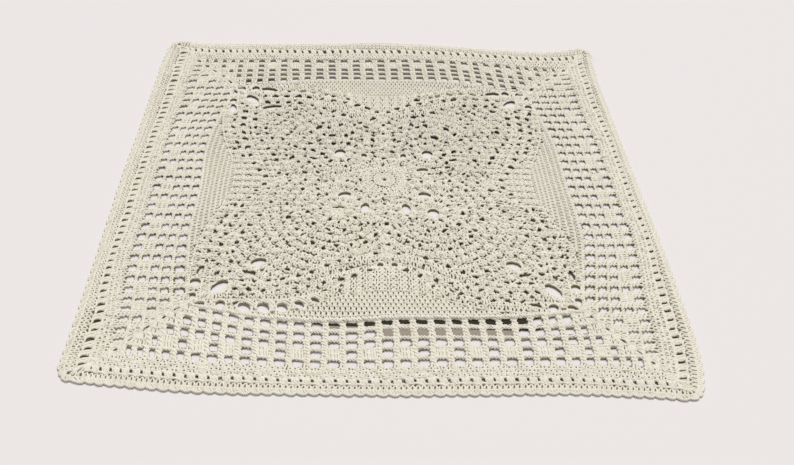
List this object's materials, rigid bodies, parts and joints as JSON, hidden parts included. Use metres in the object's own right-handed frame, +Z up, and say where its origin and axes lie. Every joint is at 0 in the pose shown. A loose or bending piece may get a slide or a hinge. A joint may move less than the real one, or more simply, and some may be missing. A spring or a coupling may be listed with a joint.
{
  "type": "crochet floor throw",
  "caption": "Square openwork crochet throw in thick cream cord, lying flat, with a lobed medallion, a plain band, a filet mesh border and a low scalloped rim.",
  "frame": {"origin": "middle of the cloth's bounding box, on the floor that it lies on", "axes": "+Z up, +X to the right and +Y away from someone who looks at the front edge, both along the sides of the square"},
  "size_m": [1.4586, 1.4406, 0.0172],
  "materials": {
    "cord": "matte"
  },
  "bodies": {
    "root": {"crochet_cloth": "cord"}
  },
  "joints": []
}
